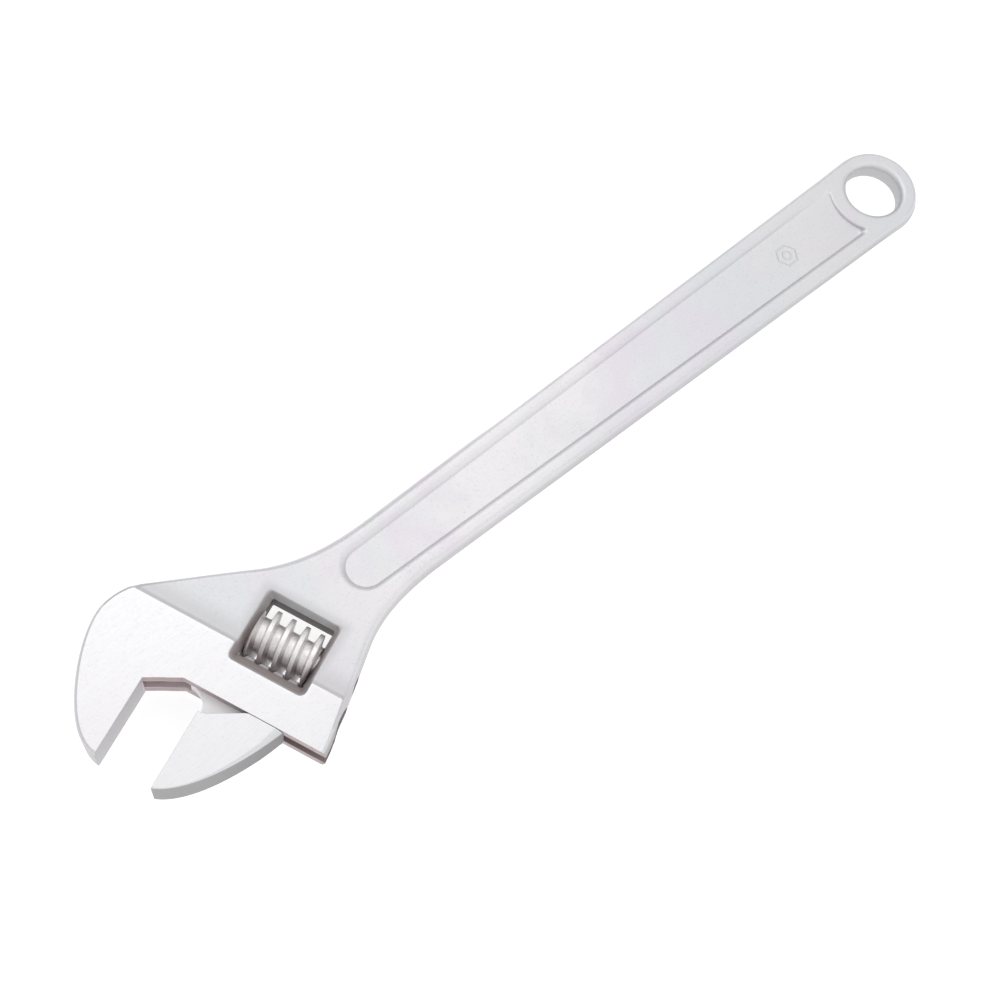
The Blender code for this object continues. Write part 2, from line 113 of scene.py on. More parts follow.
def offset(line, dist, closed=False):
    """Points moved to the left of the line's direction by dist (one value for each point)."""
    p = np.asarray(line, float)
    if closed:
        prev, nxt = np.roll(p, 1, 0), np.roll(p, -1, 0)
    else:
        prev, nxt = np.vstack([p[:1] * 2 - p[1:2], p[:-1]]), np.vstack([p[1:], p[-1:] * 2 - p[-2:-1]])
    u, v = p - prev, nxt - p
    u /= np.linalg.norm(u, axis=1)[:, None]
    v /= np.linalg.norm(v, axis=1)[:, None]
    nu, nv = np.stack([-u[:, 1], u[:, 0]], 1), np.stack([-v[:, 1], v[:, 0]], 1)
    m = nu + nv
    m /= np.linalg.norm(m, axis=1)[:, None]
    c = np.maximum((m * nu).sum(1), 0.3)
    return p + m * (np.broadcast_to(dist, len(p)) / c)[:, None]


def distance(x, y, line, closed=False):
    """Distance to a polyline, and the index of the nearest segment."""
    p = np.asarray(line, float)
    q = np.vstack([p[1:], p[:1]]) if closed else p[1:]
    p = p if closed else p[:-1]
    d = q - p
    ll = (d * d).sum(1)
    best, index = np.full(len(x), 1e9), np.zeros(len(x), int)
    for s in range(0, len(x), 2000):
        xs, ys = x[s:s + 2000, None], y[s:s + 2000, None]
        t = np.clip(((xs - p[:, 0]) * d[:, 0] + (ys - p[:, 1]) * d[:, 1]) / ll, 0, 1)
        dd = np.hypot(xs - p[:, 0] - t * d[:, 0], ys - p[:, 1] - t * d[:, 1])
        k = dd.argmin(1)
        best[s:s + 2000] = dd[np.arange(len(k)), k]
        index[s:s + 2000] = k
    return best, index


def inside(x, y, loop):
    p = np.asarray(loop, float)
    q = np.roll(p, -1, 0)
    out = np.zeros(len(x), bool)
    for (x0, y0), (x1, y1) in zip(p, q):
        if y0 == y1:
            continue
        hit = ((y0 > y) != (y1 > y)) & (x < (x1 - x0) * (y - y0) / (y1 - y0) + x0)
        out ^= hit
    return out


def smooth(t):
    t = np.clip(t, 0, 1)
    return t * t * (3 - 2 * t)


class Plan:
    """Guide lines and points for one relief solid."""

    def __init__(self):
        self.points, self.edges = [], []

    def line(self, pts, closed=False):
        pts = np.asarray(pts, float)
        base = len(self.points)
        self.points += [tuple(p) for p in pts]
        n = len(pts)
        self.edges += [(base + i, base + (i + 1) % n) for i in range(n if closed else n - 1)]

    def dots(self, pts):
        self.points += [tuple(p) for p in pts]


def relief(name, plan, keep, height):
    """The solid between +height and -height over the kept part of a plan."""
    vo, _, faces, _, _, _ = delaunay_2d_cdt([Vector(p) for p in plan.points], plan.edges, [], 0, 2e-3)
    v = np.array([(p.x, p.y) for p in vo])
    f = np.array([list(t) for t in faces])
    c = v[f].mean(1)
    area = np.abs(np.cross(v[f[:, 1]] - v[f[:, 0]], v[f[:, 2]] - v[f[:, 0]]))
    f = f[keep(c[:, 0], c[:, 1]) & (area > 1e-7)]
    used, f = np.unique(f, return_inverse=True)
    f = f.reshape(-1, 3)
    v = v[used]
    d = v[f[:, 1]] - v[f[:, 0]], v[f[:, 2]] - v[f[:, 0]]
    flip = d[0][:, 0] * d[1][:, 1] - d[0][:, 1] * d[1][:, 0] < 0
    f[flip] = f[flip][:, ::-1]
    h = height(v[:, 0], v[:, 1])
    directed = np.vstack([f[:, [0, 1]], f[:, [1, 2]], f[:, [2, 0]]])
    seen = set(map(tuple, directed.tolist()))
    rim = [(i, j) for i, j in directed.tolist() if (j, i) not in seen]
    n = len(v)
    top = np.column_stack([v, h])
    low = np.column_stack([v, -h])
    verts = np.vstack([top, low])
    verts[:, 0] += HOLE[0]
    verts[:, 1] += HOLE[1]
    verts[:, 2] += LIFT
    quads = [(i, i + n, j + n, j) for i, j in rim]
    mesh = bpy.data.meshes.new(name)
    mesh.from_pydata((verts * MM).tolist(), [], f.tolist() + (f[:, ::-1] + n).tolist() + quads)
    mesh.update()
    ob = bpy.data.objects.new(name, mesh)
    bpy.context.scene.collection.objects.link(ob)
    return ob


# ------------------------------------------------------------------ helpers for cut and turned pieces
def head_matrix(a=0.0, b=0.0, z=0.0):
    x, y = hp(a, b)
    return (Matrix.Translation(((x + HOLE[0]) * MM, (y + HOLE[1]) * MM, (z + LIFT) * MM))
            @ Matrix.Rotation(math.radians(22.5 - 90), 4, 'Z'))


def along_a(a, b):
    return head_matrix(a, b) @ Matrix.Rotation(math.radians(90), 4, 'Y')


def from_bm(name, bm, matrix=None):
    if matrix is not None:
        bm.transform(matrix)
    bm.normal_update()
    bmesh.ops.recalc_face_normals(bm, faces=bm.faces)
    mesh = bpy.data.meshes.new(name)
    bm.to_mesh(mesh)
    bm.free()
    ob = bpy.data.objects.new(name, mesh)
    bpy.context.scene.collection.objects.link(ob)
    return ob


def turned(name, profile, matrix, steps=96):
    """A profile of (radius, height), both its ends on the axis, turned about local +Z."""
    bm = bmesh.new()
    rings = []
    for r, z in profile:
        if r == 0:
            rings.append([bm.verts.new((0, 0, z * MM))])
        else:
            rings.append([bm.verts.new((r * MM * math.cos(2 * math.pi * i / steps),
                                        r * MM * math.sin(2 * math.pi * i / steps), z * MM))
                          for i in range(steps)])
    for p, q in zip(rings, rings[1:]):
        for i in range(steps):
            j = (i + 1) % steps
            if len(p) == 1:
                bm.faces.new((p[0], q[i], q[j]))
            elif len(q) == 1:
                bm.faces.new((p[j], p[i], q[0]))
            else:
                bm.faces.new((p[j], p[i], q[i], q[j]))
    return from_bm(name, bm, matrix)


def prism(name, loop, z0, z1):
    """A flat outline in plan coordinates between two heights."""
    bm = bmesh.new()
    bot = [bm.verts.new(((x + HOLE[0]) * MM, (y + HOLE[1]) * MM, (z0 + LIFT) * MM)) for x, y in loop]
    top = [bm.verts.new(((x + HOLE[0]) * MM, (y + HOLE[1]) * MM, (z1 + LIFT) * MM)) for x, y in loop]
    n = len(loop)
    bm.faces.new(top)
    bm.faces.new(bot[::-1])
    for i in range(n):
        j = (i + 1) % n
        bm.faces.new((bot[i], bot[j], top[j], top[i]))
    return from_bm(name, bm)


def carve(ob, others, operation='DIFFERENCE'):
    for other in others:
        mod = ob.modifiers.new("cut", 'BOOLEAN')
        mod.operation, mod.solver, mod.object = operation, 'EXACT', other
    bpy.context.view_layer.update()
    mesh = bpy.data.meshes.new_from_object(ob.evaluated_get(bpy.context.evaluated_depsgraph_get()))
    ob.modifiers.clear()
    old = ob.data
    ob.data = mesh
    bpy.data.meshes.remove(old)
    for other in others:
        bpy.data.objects.remove(other, do_unlink=True)


def finish_mesh(ob, angle=32, weighted=True):
    bm = bmesh.new()
    bm.from_mesh(ob.data)
    bmesh.ops.remove_doubles(bm, verts=bm.verts, dist=2e-6)
    bmesh.ops.dissolve_degenerate(bm, dist=2e-6, edges=bm.edges)
    bm.normal_update()
    bm.to_mesh(ob.data)
    bm.free()
    ob.data.shade_smooth()
    ob.data.set_sharp_from_angle(angle=math.radians(angle))
    if weighted:
        mod = ob.modifiers.new("normals", 'WEIGHTED_NORMAL')
        mod.keep_sharp = True
        mod.weight = 60


# ------------------------------------------------------------------ wrench body
EYE_C, EYE_R, HOLE_R = (1.4, 0.0), 27.8, 17.2
tip = hp(5, 56.4)
chain = [tip]
chain += bez(tip, hp(-6.2, 57.3), hp(-14.8, 50.8), hp(-23.1, 38.3))
chain += bez(hp(-23.1, 38.3), hp(-31.2, 26.0), hp(-39.6, 6), hp(-39.6, -9), 30)
chain += bez(hp(-39.6, -9), hp(-39.6, -17.6), hp(-34.2, -28.8), hp(-27.4, -34.3))
chain += [(-475, 49.8), (-449.4, 35.0)]
chain += bez((-449.4, 35.0), (-437, 27.9), (-418, 22.1), (-386, 22.1))
slope = math.degrees(math.atan((27.2 - 22.1) / 366))
chain.append((-20, 27.2))
chain += circle(EYE_C[0], EYE_C[1], EYE_R, 90 - slope, slope - 90, 60)
chain.append((-20, -27.2))
chain.append((-372, -22.3))
chain += bez((-372, -22.3), (-398, -23.0), (-413, -27.2), (-425, -34.2))
foot = [(-447.5, -47.9), hp(102.4, -6.0), hp(103.1, 4)]
chain += foot
chain = resample(chain, 1.4, keep=3.5)[::-1]           # heel first, the solid on the left
blank = np.vstack([chain, [hp(4, 4)]])

ax, bx = to_ab(chain[:, 0], chain[:, 1])


def edge_radius(x, b):
    """Rounding of the forging's edges along the outline."""
    r = 2.9 + 2.1 * smooth((x + 470) / 60) - 1.9 * smooth((x + 400) / 330) + 1.5 * smooth((x + 25) / 30)
    return np.where(b > BAND, 2.5, r)


EDGE_R = edge_radius(chain[:, 0], bx)
EDGE_R = np.convolve(np.pad(EDGE_R, 6, 'edge'), np.ones(13) / 13, 'valid')

plan = Plan()
LEVELS = [1 - math.cos(math.radians(t)) for t in (0, 11, 22, 33, 44, 54, 64, 73.4, 81, 90)] + [1.18]
for k in LEVELS:
    plan.line(offset(chain, EDGE_R * k))

# machined jaw side
THROAT = [hp(0, 80), hp(0, 10), hp(18.5, 0), hp(125, 0)]
mouth = THROAT + [hp(125, 80)]
plan.line(resample(THROAT, 2.0))
CHAMFER = 0.16
plan.line(resample([hp(-CHAMFER, 80), hp(-CHAMFER, 10 - CHAMFER * 0.78), hp(18.5 - CHAMFER * .25, -CHAMFER),
                    hp(125, -CHAMFER)], 2.0))

# lines of the ground band's edge
for k in (0, 0.15, 0.33, 0.55, 0.78, 1.0, 1.25):
    plan.line(resample([hp(-60, BAND - BAND_SLOPE * k), hp(130, BAND - BAND_SLOPE * k)], 2.2))


# worm pocket: rounded rectangles, one for each level u of its drafted walls
def pocket_loop(u, n=7):
    a0, a1 = WINDOW_A[0] - 4.0 * u, WINDOW_A[1] + 4.0 * u
    b0, b1 = WINDOW_B[0] - 2.2 * u, WINDOW_B[1] + 4.8 * u
    r = 0.8 + 2.8 * u
    out = []
    for cx, cy, s in ((a1 - r, b1 - r, 0), (a0 + r, b1 - r, 90), (a0 + r, b0 + r, 180), (a1 - r, b0 + r, 270)):
        out += circle(cx, cy, r, s, s + 90, n)
    dense = []
    for p, q in zip(out, out[1:] + out[:1]):
        m = max(1, int(math.dist(p, q) / 2.2 + 0.5))
        dense += [(p[0] + (q[0] - p[0]) * i / m, p[1] + (q[1] - p[1]) * i / m) for i in range(m)]
    return [hp(*p) for p in dense]


def pocket_level(a, b):
    """The level u of the pocket wall that passes through each point; below 0 is the window."""
    lo, hi = np.full(len(a), -0.2), np.full(len(a), 4.0)
    for _ in range(22):
        u = (lo + hi) / 2
        a0, a1 = WINDOW_A[0] - 4.0 * u, WINDOW_A[1] + 4.0 * u
        b0, b1 = WINDOW_B[0] - 2.2 * u, WINDOW_B[1] + 4.8 * u
        r = 0.8 + 2.8 * np.maximum(u, 0)
        qa = np.abs(a - (a0 + a1) / 2) - (a1 - a0) / 2 + r
        qb = np.abs(b - (b0 + b1) / 2) - (b1 - b0) / 2 + r
        sd = np.hypot(np.maximum(qa, 0), np.maximum(qb, 0)) + np.minimum(np.maximum(qa, qb), 0) - r
        out = sd > 0
        lo, hi = np.where(out, u, lo), np.where(out, hi, u)
    return (lo + hi) / 2


for u in (0, 0.16, 0.32, 0.48, 0.6, 0.68, 0.74, 0.8, 0.86, 0.92, 0.98, 1.05, 1.14):
    plan.line(pocket_loop(u), True)

# panel on each face of the handle: top edge of its wall, then lines down the wall
PX, PR = -401.5, 15.7
EW = 20.6
BOSS = 27.4
reach = math.degrees(math.asin(EW / BOSS))
CORNER = (-BOSS * math.cos(math.radians(reach)), EW)
panel = circle(PX, 0, PR, 90, 270, 40) + circle(0, 0, BOSS, 180 + reach, 180 - reach, 30)
panel = resample(panel, 1.6, True)                      # anticlockwise: the recess on the left


def wall_width(x, on_boss):
    return np.where(on_boss, 1.8, 4.6 - 0.8 * smooth((x + 400) / 330))


BOSS_POINT = (panel[:, 0] > -60) & (np.hypot(panel[:, 0], panel[:, 1]) < BOSS + 0.1)
SIDES = [CORNER] + circle(PX, 0, PR, 90, 270, 40) + [(CORNER[0], -EW)]
WALL = (-0.15, 0, 0.1, 0.22, 0.35, 0.47, 0.58, 0.68, 0.77, 0.85, 0.93, 1.0, 1.12)
for t in WALL:
    plan.line(offset(panel, wall_width(panel[:, 0], BOSS_POINT) * t, True), True)

# hang hole with rounded rims
RIM = 3.5
for t in (0, 14, 28, 42, 55, 67, 78, 90, 100):
    k = 1 - math.cos(math.radians(t)) if t < 95 else 1.2
    plan.line(circle(0, 0, HOLE_R + RIM * k, 0, 360, 120)[:-1], True)

# raised mark: a plain hexagon nut in outline
MARK = (-76.0, 0.0)
hexagon = circle(MARK[0], MARK[1], 7.6, 0, 360, 6)[:-1]
hexagon = resample(hexagon, 1.2, True, keep=20)
ring = np.array(circle(MARK[0], MARK[1], 3.3, 0, 360, 40)[:-1])
STROKE, RISE = 1.15, 0.42
for loop in (hexagon, ring):
    for t in (0, 0.06, 0.16, 0.3, STROKE - 0.3, STROKE - 0.16, STROKE - 0.06, STROKE):
        plan.line(offset(loop, t, True), True)

# a grid carries the smooth changes of thickness
gx, gy = np.meshgrid(np.arange(-570, 40, 3.0), np.arange(-70, 75, 3.0))
gx, gy = gx.ravel() + 0.37, gy.ravel() + 0.21
dc, _ = distance(gx, gy, chain)
dp, _ = distance(gx, gy, panel, True)
ga, gb = to_ab(gx, gy)
ok = inside(gx, gy, blank) & (dc > 6.8) & ~((ga > -2) & (gb > -1.5)) & (np.hypot(gx, gy) > 24)
ok &= (dp > 5.5) & ((pocket_level(ga, gb) > 1.35) | (gb > 5)) & ~((gb > -35.5) & (gb < -28.5) & (gx < -380))
ok &= np.hypot(gx - MARK[0], gy - MARK[1]) > 9.5
plan.dots(np.stack([gx[ok], gy[ok]], 1))
gx, gy = np.meshgrid(np.arange(-30, -17, 0.75), np.arange(12.6, 21, 0.75))
gx, gy = np.tile(gx.ravel(), 2), np.concatenate([gy.ravel(), -gy.ravel()])
dp, _ = distance(gx, gy, panel, True)
ok = inside(gx, gy, panel) & (dp > 0.3)
plan.dots(np.stack([gx[ok], gy[ok]], 1))

STEPS_X = np.array([-470, -452, -438, -425, -412, -398, -380, -340])
STEPS_H = np.array([12.4, 12.38, 11.75, 10.6, 9.62, 9.04, 8.913, 8.72])


def forged_height(x, y):
    """Half thickness before the edges are rounded."""
    law = 9.0 + (7.2 - 9.0) * (x + 398) / 373
    s = np.concatenate([[0], (STEPS_H[2:] - STEPS_H[:-2]) / (STEPS_X[2:] - STEPS_X[:-2]), [-1.8 / 373]])
    i = np.clip(np.searchsorted(STEPS_X, x) - 1, 0, len(STEPS_X) - 2)
    w = STEPS_X[i + 1] - STEPS_X[i]
    t = np.clip((x - STEPS_X[i]) / w, 0, 1)
    web = ((2 * t ** 3 - 3 * t ** 2 + 1) * STEPS_H[i] + (t ** 3 - 2 * t ** 2 + t) * w * s[i]
           + (3 * t ** 2 - 2 * t ** 3) * STEPS_H[i + 1] + (t ** 3 - t ** 2) * w * s[i + 1])
    h = np.where(x > -340, law, web)
    _, b = to_ab(x, y)
    rise = np.clip((b - (BAND - BAND_SLOPE)) / BAND_SLOPE, 0, 1)
    return h + (13.65 - h) * rise * rise * (1.5 - 0.5 * rise) * (x < -380)


def body_height(x, y):
    a, b = to_ab(x, y)
    h = forged_height(x, y)
    # panel
    within = inside(x, y, panel)
    d, _ = distance(x, y, SIDES)
    boss = np.where(x > -60, np.hypot(x, y) - BOSS, 9.0)
    t = np.clip(d / wall_width(x, False), 0, 1) * np.clip(boss / 1.8, 0, 1) * within
    floor = 9.0 + (7.2 - 9.0) * (x + 398) / 373 - 1.8
    floor = floor + smooth((x + 75) / 50) * (0.95 * smooth((y + 4) / 20) - 0.5 * smooth((-y - 2) / 12))
    # the recess runs out before the boss's two corners
    fill = smooth((np.abs(y) - 14.6) / 2.4) * smooth((5.2 - boss) / 2.6)
    h = h + (floor - h) * t ** 2.6 * (1 - fill)
    # raised mark
    for loop in (hexagon, ring):
        dm, _ = distance(x, y, loop, True)
        dm = np.where(inside(x, y, loop), dm, -dm)
        h = h + RISE * smooth(np.minimum(dm, STROKE - dm) / 0.3)
    # worm pocket
    u = pocket_level(a, b)
    wall = 5.1 + 8.4 * np.maximum(u, 0)
    k = 1.8
    m = np.maximum(k - np.abs(h - wall), 0) / k
    h = np.where(b < 5, np.minimum(h, wall) - m * m * k / 4, h)
    # rounded edges
    d, i = distance(x, y, chain)
    r = (EDGE_R[i] + EDGE_R[np.minimum(i + 1, len(EDGE_R) - 1)]) / 2
    e = np.clip(1 - d / r, 0, 1)
    rounded = h - r * (1 - np.sqrt(1 - e * e))
    # the heel's wall leans in from the parting line to the faces in one long round
    e = np.clip(1 - d / 3.4, 0, 1)
    draft = h - 10.0 * (1 - np.sqrt(1 - e * e))
    heel = smooth((a - 84) / 12) * (b < 20)
    h = rounded + (draft - rounded) * heel
    d = np.hypot(x, y) - HOLE_R
    e = np.clip(1 - d / RIM, 0, 1)
    h = h - RIM * (1 - np.sqrt(np.maximum(1 - e * e, 0)))
    # ground faces
    h = np.minimum(h, HEAD)
    # chamfer along the machined edges
    d, _ = distance(x, y, THROAT)
    return np.maximum(h - np.clip(CHAMFER - d, 0, CHAMFER), 1.0)


def body_keep(x, y):
    a, b = to_ab(x, y)
    return (inside(x, y, blank) & ~inside(x, y, mouth) & (np.hypot(x, y) > HOLE_R)
            & ~((pocket_level(a, b) < 0) & (b < 5)))


body = relief("forged_body", plan, body_keep, body_height)

# rack bore, neck slot and stepped pin hole
bore = turned("cut_bore", [(0, -12.4), (9.95, -12.4), (9.95, 125), (0, 125)], along_a(0, RACK_B), 96)
slot = prism("cut_slot", [hp(*p) for p in ((-12.2, RACK_B), (-12.2, 0.1), (0.7, 11), (0.7, 30), (130, 30),
                                           (130, RACK_B))], -6.0, 6.0)
pin_hole = turned("cut_pin", [(0, -0.5), (3.6, -0.5), (3.6, 49.5), (4.55, 50.4), (4.55, 73.4), (5.6, 74.5), (5.6, 95),
                              (0, 95)], along_a(29.0, WORM_B), 64)
carve(body, [bore, slot, pin_hole])
finish_mesh(body)

# ------------------------------------------------------------------ movable jaw
back = bez((F, 57.3), (F + 15.8, 51.8), (F + 33.5, 26), (F + 43.9, GAP), 40)
curve = resample([hp(F - 3, 58.1), hp(F, 57.3)] + [hp(*p) for p in back] + [hp(F + 46.6, -6)], 1.2)
ca, cb = to_ab(curve[:, 0], curve[:, 1])
JAW_R = 0.7 + 2.3 * smooth((52 - cb) / 42) + 1.8 * smooth((16 - cb) / 14)
jaw_faces = [hp(F, 70), hp(F, 11.5), hp(F + 3, 11.5), hp(F + 22.8, GAP), hp(F + 60, GAP)]
jaw_blank = [hp(F, 11.5), hp(F, 57.3)] + [hp(*p) for p in back] + [hp(F + 22.8, GAP), hp(F + 3, 11.5)]
jaw_solid = np.array(jaw_blank)

# the curve runs from the tip to the shoulder; the solid lies on its right when a grows towards the heel
side = offset(curve, 1.0)
LEFT = inside(side[20:21, 0], side[20:21, 1], jaw_solid)[0]
jp = Plan()
for k in LEVELS:
    jp.line(offset(curve, JAW_R * k if LEFT else -JAW_R * k))
jp.line(resample(jaw_faces, 2.0))
c = 0.14
jp.line(resample([hp(F + c, 70), hp(F + c, 11.5 + c), hp(F + 3 + c * .3, 11.5 + c), hp(F + 22.8 + c * .3, GAP + c),
                  hp(F + 60, GAP + c)], 2.0))
gx, gy = np.meshgrid(np.arange(-545, -440, 3.0), np.arange(-75, 40, 3.0))
gx, gy = gx.ravel() + 0.4, gy.ravel() + 0.3
dj, _ = distance(gx, gy, jaw_solid, True)
ok = inside(gx, gy, jaw_solid) & (dj > 4.5)
jp.dots(np.stack([gx[ok], gy[ok]], 1))


def jaw_height(x, y):
    h = np.full(len(x), HEAD + 0.04)
    d, i = distance(x, y, curve)
    r = JAW_R[i]
    e = np.clip(1 - d / r, 0, 1)
    h = np.minimum(h - r * (1 - np.sqrt(1 - e * e)), HEAD)
    d, _ = distance(x, y, jaw_faces)
    return h - np.clip(c - d, 0, c)


jaw = relief("jaw_plate", jp, lambda x, y: inside(x, y, jaw_solid), jaw_height)
neck_loop = ([(F + 0.7, 14), (F + 0.7, 11.6)]
             + [(22 + 12.5 * math.cos(t), 12 - 12.5 * math.sin(t)) for t in np.radians(np.linspace(6, 90, 22))]
             + [(22, RACK_B), (F + 38, RACK_B), (F + 38, 8), (F + 12, 20)])
neck = prism("jaw_neck", [hp(*p) for p in neck_loop], -5.6, 5.6)
length = RACK_A[1] - RACK_A[0]
bar = turned("jaw_bar", [(0, 0), (RACK_R - 1.1, 0), (RACK_R - 0.3, 0.3), (RACK_R, 1.1), (RACK_R, length - 1.1),
                         (RACK_R - 0.3, length - 0.3), (RACK_R - 1.1, length), (0, length)],
             along_a(RACK_A[0], RACK_B), 96)
carve(jaw, [neck, bar], 'UNION')

lead = PITCH / (2 * math.pi * (WORM_R - 1.2))
reach = RACK_B - RACK_R - WORM_B
root = reach + 3.55
grooves = []
for n in range(-6, 8):
    a = PHASE_A + n * PITCH
    if not RACK_A[0] - 3 < a < RACK_A[1] + 3:
        continue
    # section of the space between two teeth, rounded at the root and eased at the tooth tips
    half = 2.3 / 2 + 0.45
    out = half + 5.05 * 0.2
    sec = [(out + 0.6, 1.5), (half + 3.55 * 0.2 + 0.42, -0.02), (half + 3.35 * 0.2 + 0.06, -0.38),
           (half + 0.12, -3.05), (half - 0.1, -3.4), (half - 0.5, -3.55)]
    sec = sec + [(-x, y) for x, y in sec[::-1]]
    bm = bmesh.new()
    ends = []
    for z in (-14, 14):
        ends.append([bm.verts.new(((x - lead * z) * MM, (y - reach) * MM, z * MM)) for x, y in sec])
    bm.faces.new(ends[0])
    bm.faces.new(ends[1][::-1])
    for i in range(len(sec)):
        j = (i + 1) % len(sec)
        bm.faces.new((ends[0][j], ends[0][i], ends[1][i], ends[1][j]))
    grooves.append(from_bm("groove", bm, head_matrix(a, WORM_B)))
carve(jaw, grooves)
finish_mesh(jaw)

# ------------------------------------------------------------------ adjusting worm
L = WORM_A[1] - WORM_A[0]
PROFILE_D = np.array([0, 0.98, 1.16, 1.27, 1.36, 2.16, 2.32, 2.58, 2.97, 3.4, PITCH / 2])
PROFILE_R = np.array([16.0, 16.0, 15.95, 15.82, 15.55, 10.9, 10.45, 10.14, 10.02, 10.0, 10.0])
first = PHASE_A - WORM_A[0]
rows = sorted(set([round(s * d, 5) for d in PROFILE_D for s in (-1, 1)]))[:-1]
AROUND = 144
grid = []
for i in range(AROUND + 1):
    th = 2 * math.pi * i / AROUND
    column = []
    for n in range(-2, 7):
        for d in rows:
            z = first + PITCH * ((th + math.pi / 2) / (2 * math.pi) + n) + d
            zc = min(max(z, 0.0), L)
            u = (zc - first) / PITCH - (th + math.pi / 2) / (2 * math.pi)
            u = abs(u - round(u)) * PITCH
            r = float(np.interp(u, PROFILE_D, PROFILE_R))
            column.append((r * MM * math.cos(th), r * MM * math.sin(th), zc * MM))
    grid.append(column)
bm = bmesh.new()
vs = [[bm.verts.new(p) for p in column] for column in grid]
for p, q in zip(vs, vs[1:]):
    for k in range(len(p) - 1):
        if p[k].co.z == p[k + 1].co.z and q[k].co.z == q[k + 1].co.z:
            continue
        bm.faces.new((p[k], q[k], q[k + 1], p[k + 1]))
bmesh.ops.remove_doubles(bm, verts=bm.verts, dist=1e-6)
bmesh.ops.dissolve_degenerate(bm, dist=1e-6, edges=bm.edges)
bmesh.ops.delete(bm, geom=[v for v in bm.verts if not v.link_faces], context='VERTS')
bmesh.ops.holes_fill(bm, edges=[e for e in bm.edges if e.is_boundary], sides=0)
worm = from_bm("worm_screw", bm, along_a(WORM_A[0], WORM_B))
ends = turned("worm_ends", [(0, 0.02), (14.2, 0.02), (15.0, 0.35), (16.8, 1.9), (16.8, L - 1.9), (15.0, L - 0.35),
                            (14.2, L - 0.02), (0, L - 0.02)], along_a(WORM_A[0], WORM_B), 144)
carve(worm, [ends], 'INTERSECT')
hollow = turned("worm_bore", [(0, -3), (4.4, -3), (4.4, 0.0), (3.62, 0.8), (3.6, L - 10.2), (5.9, L - 10.2), (5.9, L - 0.7),
                              (6.7, L + 0.05), (6.7, L + 3), (0, L + 3)], along_a(WORM_A[0], WORM_B), 72)
carve(worm, [hollow])
finish_mesh(worm, 38)

# ------------------------------------------------------------------ pin and spring
pin = turned("pin_shank", [(0, 0), (2.6, 0), (3.0, 0.2), (3.25, 0.6), (3.25, 49.8), (4.2, 49.8), (4.2, 63.6),
                           (4.0, 64.1), (3.6, 64.4), (0, 64.4)], along_a(29.0, WORM_B), 64)
bm = bmesh.new()
bmesh.ops.create_cube(bm, size=1)
bmesh.ops.scale(bm, vec=(4.4 * MM, 12 * MM, 1.3 * MM), verts=bm.verts)
carve(pin, [from_bm("driver", bm, head_matrix(93.4, WORM_B))])
finish_mesh(pin)

coil = bpy.data.curves.new("spring_coil", 'CURVE')
coil.dimensions = '3D'
coil.bevel_depth = 0.45 * MM
coil.bevel_resolution = 4
coil.use_fill_caps = True
sp = coil.splines.new('POLY')
turns, per = 5, 36
sp.points.add(turns * per)
for i, p in enumerate(sp.points):
    t = i / (turns * per)
    w = 2 * math.pi * turns * t
    p.co = (4.75 * math.cos(w) * MM, 4.75 * math.sin(w) * MM, 9.0 * t * MM, 1)
spring = bpy.data.objects.new("spring_coil", coil)
bpy.context.scene.collection.objects.link(spring)
spring.matrix_world = along_a(63.4, WORM_B)


